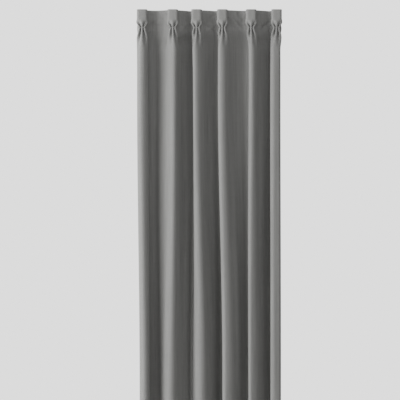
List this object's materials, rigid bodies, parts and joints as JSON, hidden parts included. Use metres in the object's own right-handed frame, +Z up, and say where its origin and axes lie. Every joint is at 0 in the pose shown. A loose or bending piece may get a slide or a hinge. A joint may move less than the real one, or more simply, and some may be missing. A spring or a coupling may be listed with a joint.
{
  "type": "pinch pleated curtain panel",
  "caption": "Lined fabric curtain panel with three-finger pinch pleats, pin-on drapery hooks and a weighted bottom hem, drawn along its rail.",
  "frame": {"origin": "inside top of the crook of the fixed-end (right-hand) drapery hook, where a ring's eye or a carrier bears", "axes": "+X along the heading towards the fixed end, -Y out of the front face, +Z up"},
  "size_m": [0.6191, 0.1027, 2.134],
  "materials": {
    "face_cloth": "matte woven, mid grey",
    "lining_cloth": "matte, off-white sateen lining",
    "buckram": "stiff woven heading tape, white",
    "hook_steel": "bright zinc-plated wire",
    "grey_thread": "twisted sewing thread, grey",
    "white_thread": "twisted sewing thread, white",
    "weight_zinc": "dull cast zinc",
    "label_satin": "satin ribbon, blank"
  },
  "bodies": {
    "root": {"face_fabric": "face_cloth", "lining": "lining_cloth", "heading_tape": "buckram", "drapery_hook_6": "hook_steel", "pleat_tack_6": "grey_thread", "hem_weight_right": "weight_zinc", "weight_pouch_right": "lining_cloth", "care_label": "label_satin", "swing_tack_1": "white_thread", "swing_tack_2": "white_thread", "swing_tack_3": "white_thread"},
    "lead_pleat": {"drapery_hook_1": "hook_steel", "pleat_tack_1": "grey_thread", "hem_weight_left": "weight_zinc", "weight_pouch_left": "lining_cloth"},
    "pleat_2": {"drapery_hook_2": "hook_steel", "pleat_tack_2": "grey_thread"},
    "pleat_3": {"drapery_hook_3": "hook_steel", "pleat_tack_3": "grey_thread"},
    "pleat_4": {"drapery_hook_4": "hook_steel", "pleat_tack_4": "grey_thread"},
    "pleat_5": {"drapery_hook_5": "hook_steel", "pleat_tack_5": "grey_thread"}
  },
  "joints": [
    {"name": "lead_slide", "type": "slide", "parent": "root", "child": "lead_pleat", "axis": [1, 0, 0], "range_m": [0, 0.35], "deforming": ["face_fabric", "lining", "heading_tape", "care_label", "swing_tack_1", "swing_tack_2", "swing_tack_3"]},
    {"name": "pleat_2_slide", "type": "slide", "parent": "root", "child": "pleat_2", "axis": [1, 0, 0], "range_m": [0, 0.2702]},
    {"name": "pleat_3_slide", "type": "slide", "parent": "root", "child": "pleat_3", "axis": [1, 0, 0], "range_m": [0, 0.2082]},
    {"name": "pleat_4_slide", "type": "slide", "parent": "root", "child": "pleat_4", "axis": [1, 0, 0], "range_m": [0, 0.1413]},
    {"name": "pleat_5_slide", "type": "slide", "parent": "root", "child": "pleat_5", "axis": [1, 0, 0], "range_m": [0, 0.0664]}
  ],
  "couplings": [
    {"joint": "pleat_2_slide", "follows": "lead_slide", "ratio": 0.77193},
    {"joint": "pleat_3_slide", "follows": "lead_slide", "ratio": 0.59474},
    {"joint": "pleat_4_slide", "follows": "lead_slide", "ratio": 0.40351},
    {"joint": "pleat_5_slide", "follows": "lead_slide", "ratio": 0.18947}
  ]
}
